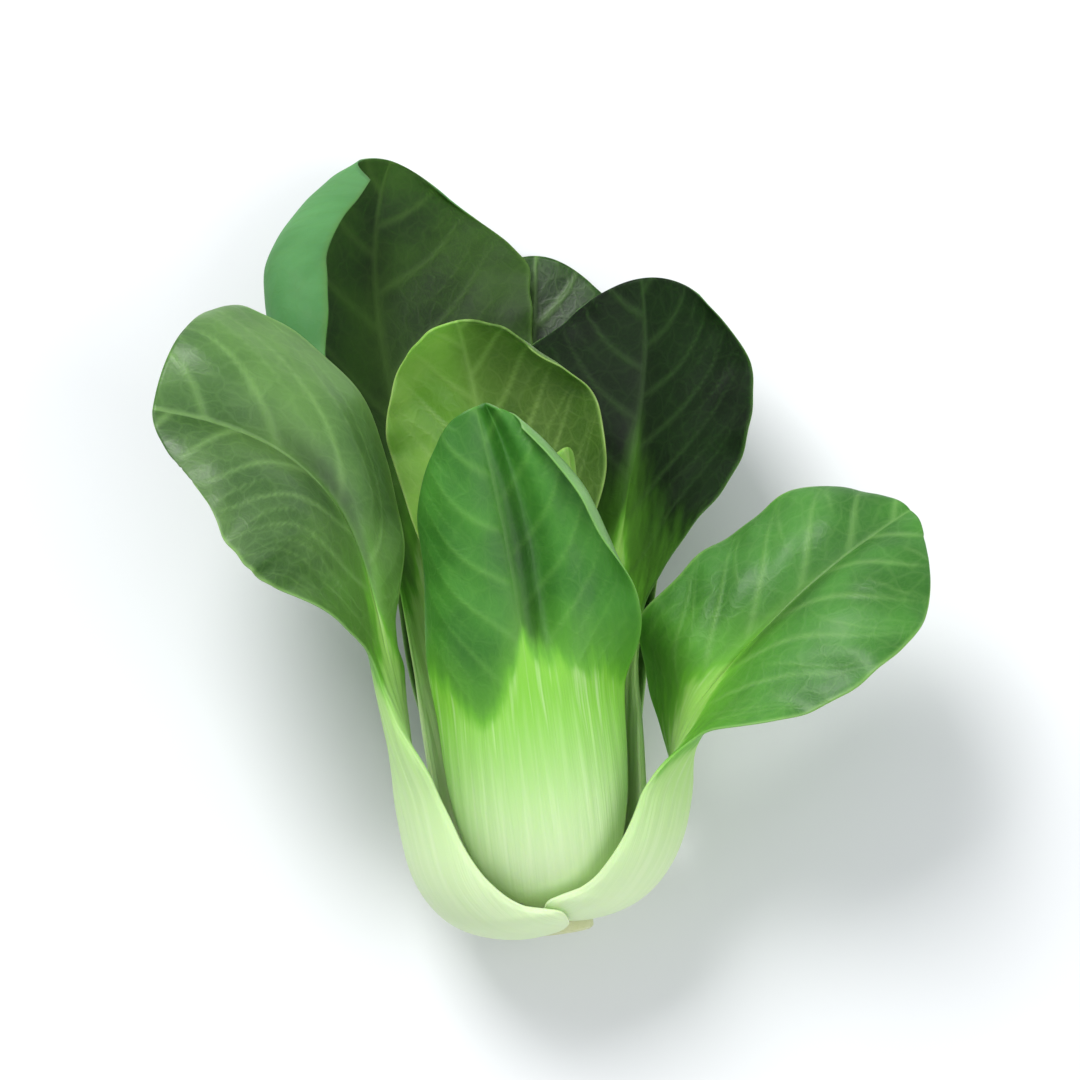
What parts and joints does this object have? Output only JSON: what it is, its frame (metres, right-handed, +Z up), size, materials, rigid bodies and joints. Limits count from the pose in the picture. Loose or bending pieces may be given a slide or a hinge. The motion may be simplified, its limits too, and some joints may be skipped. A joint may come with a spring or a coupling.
{
  "type": "bok choy",
  "caption": "Small head of bok choy lying on its back, with pale fleshy leaf stalks nested round a cut stem plate and broad cupped green blades.",
  "frame": {"origin": "on the surface that the head lies on, under the middle of its bounding box", "axes": "+Z up from the surface, +Y along the head from its cut end towards the leaf tips, +X to the right as seen from above with the tips away"},
  "size_m": [0.151, 0.173, 0.0786],
  "materials": {
    "stem": "matte, pale cut vegetable flesh",
    "outer_leaf": "satin fresh leaf, dark green blade over a pale green stalk",
    "heart_leaf": "satin fresh young leaf, yellow green"
  },
  "bodies": {
    "root": {"stem_plate": "stem", "leaf_outer_left": "outer_leaf", "leaf_outer_right": "outer_leaf", "leaf_back": "outer_leaf", "leaf_front": "outer_leaf", "leaf_left": "outer_leaf", "leaf_right": "outer_leaf", "leaf_hood": "heart_leaf", "leaf_inner_left": "heart_leaf", "leaf_inner_right": "heart_leaf", "leaf_heart_front": "heart_leaf", "leaf_heart_back": "heart_leaf"}
  },
  "joints": []
}
